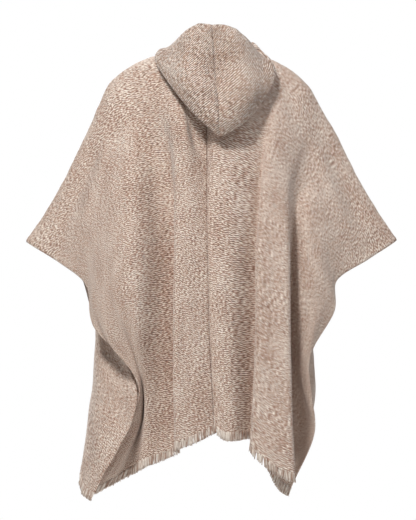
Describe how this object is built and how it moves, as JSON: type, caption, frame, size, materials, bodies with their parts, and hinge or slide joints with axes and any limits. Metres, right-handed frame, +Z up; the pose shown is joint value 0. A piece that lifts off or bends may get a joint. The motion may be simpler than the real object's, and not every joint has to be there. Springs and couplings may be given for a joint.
{
  "type": "hooded poncho",
  "caption": "Hooded wool poncho in its worn, hollow form: two woven lengths, centre seams, a hood hanging behind and a short frayed hem.",
  "frame": {"origin": "the base of the neck, midway between the tops of the two shoulders, where a wearer or a stand holds the poncho", "axes": "+Z up, +Y towards the front of the poncho, +X towards its right side as seen from behind"},
  "size_m": [0.8991, 0.3627, 1.1446],
  "materials": {
    "wool_cloth": "matt marled twill, off-white and rosy brown",
    "hood_cloth": "matt marled twill, off-white and rosy brown",
    "fringe_yarn": "frayed woollen yarn ends"
  },
  "bodies": {
    "root": {"panel_left": "wool_cloth", "panel_right": "wool_cloth", "hood_left": "hood_cloth", "hood_right": "hood_cloth", "fringe_back_left": "fringe_yarn", "fringe_back_right": "fringe_yarn", "fringe_front_left": "fringe_yarn", "fringe_front_right": "fringe_yarn"}
  },
  "joints": []
}
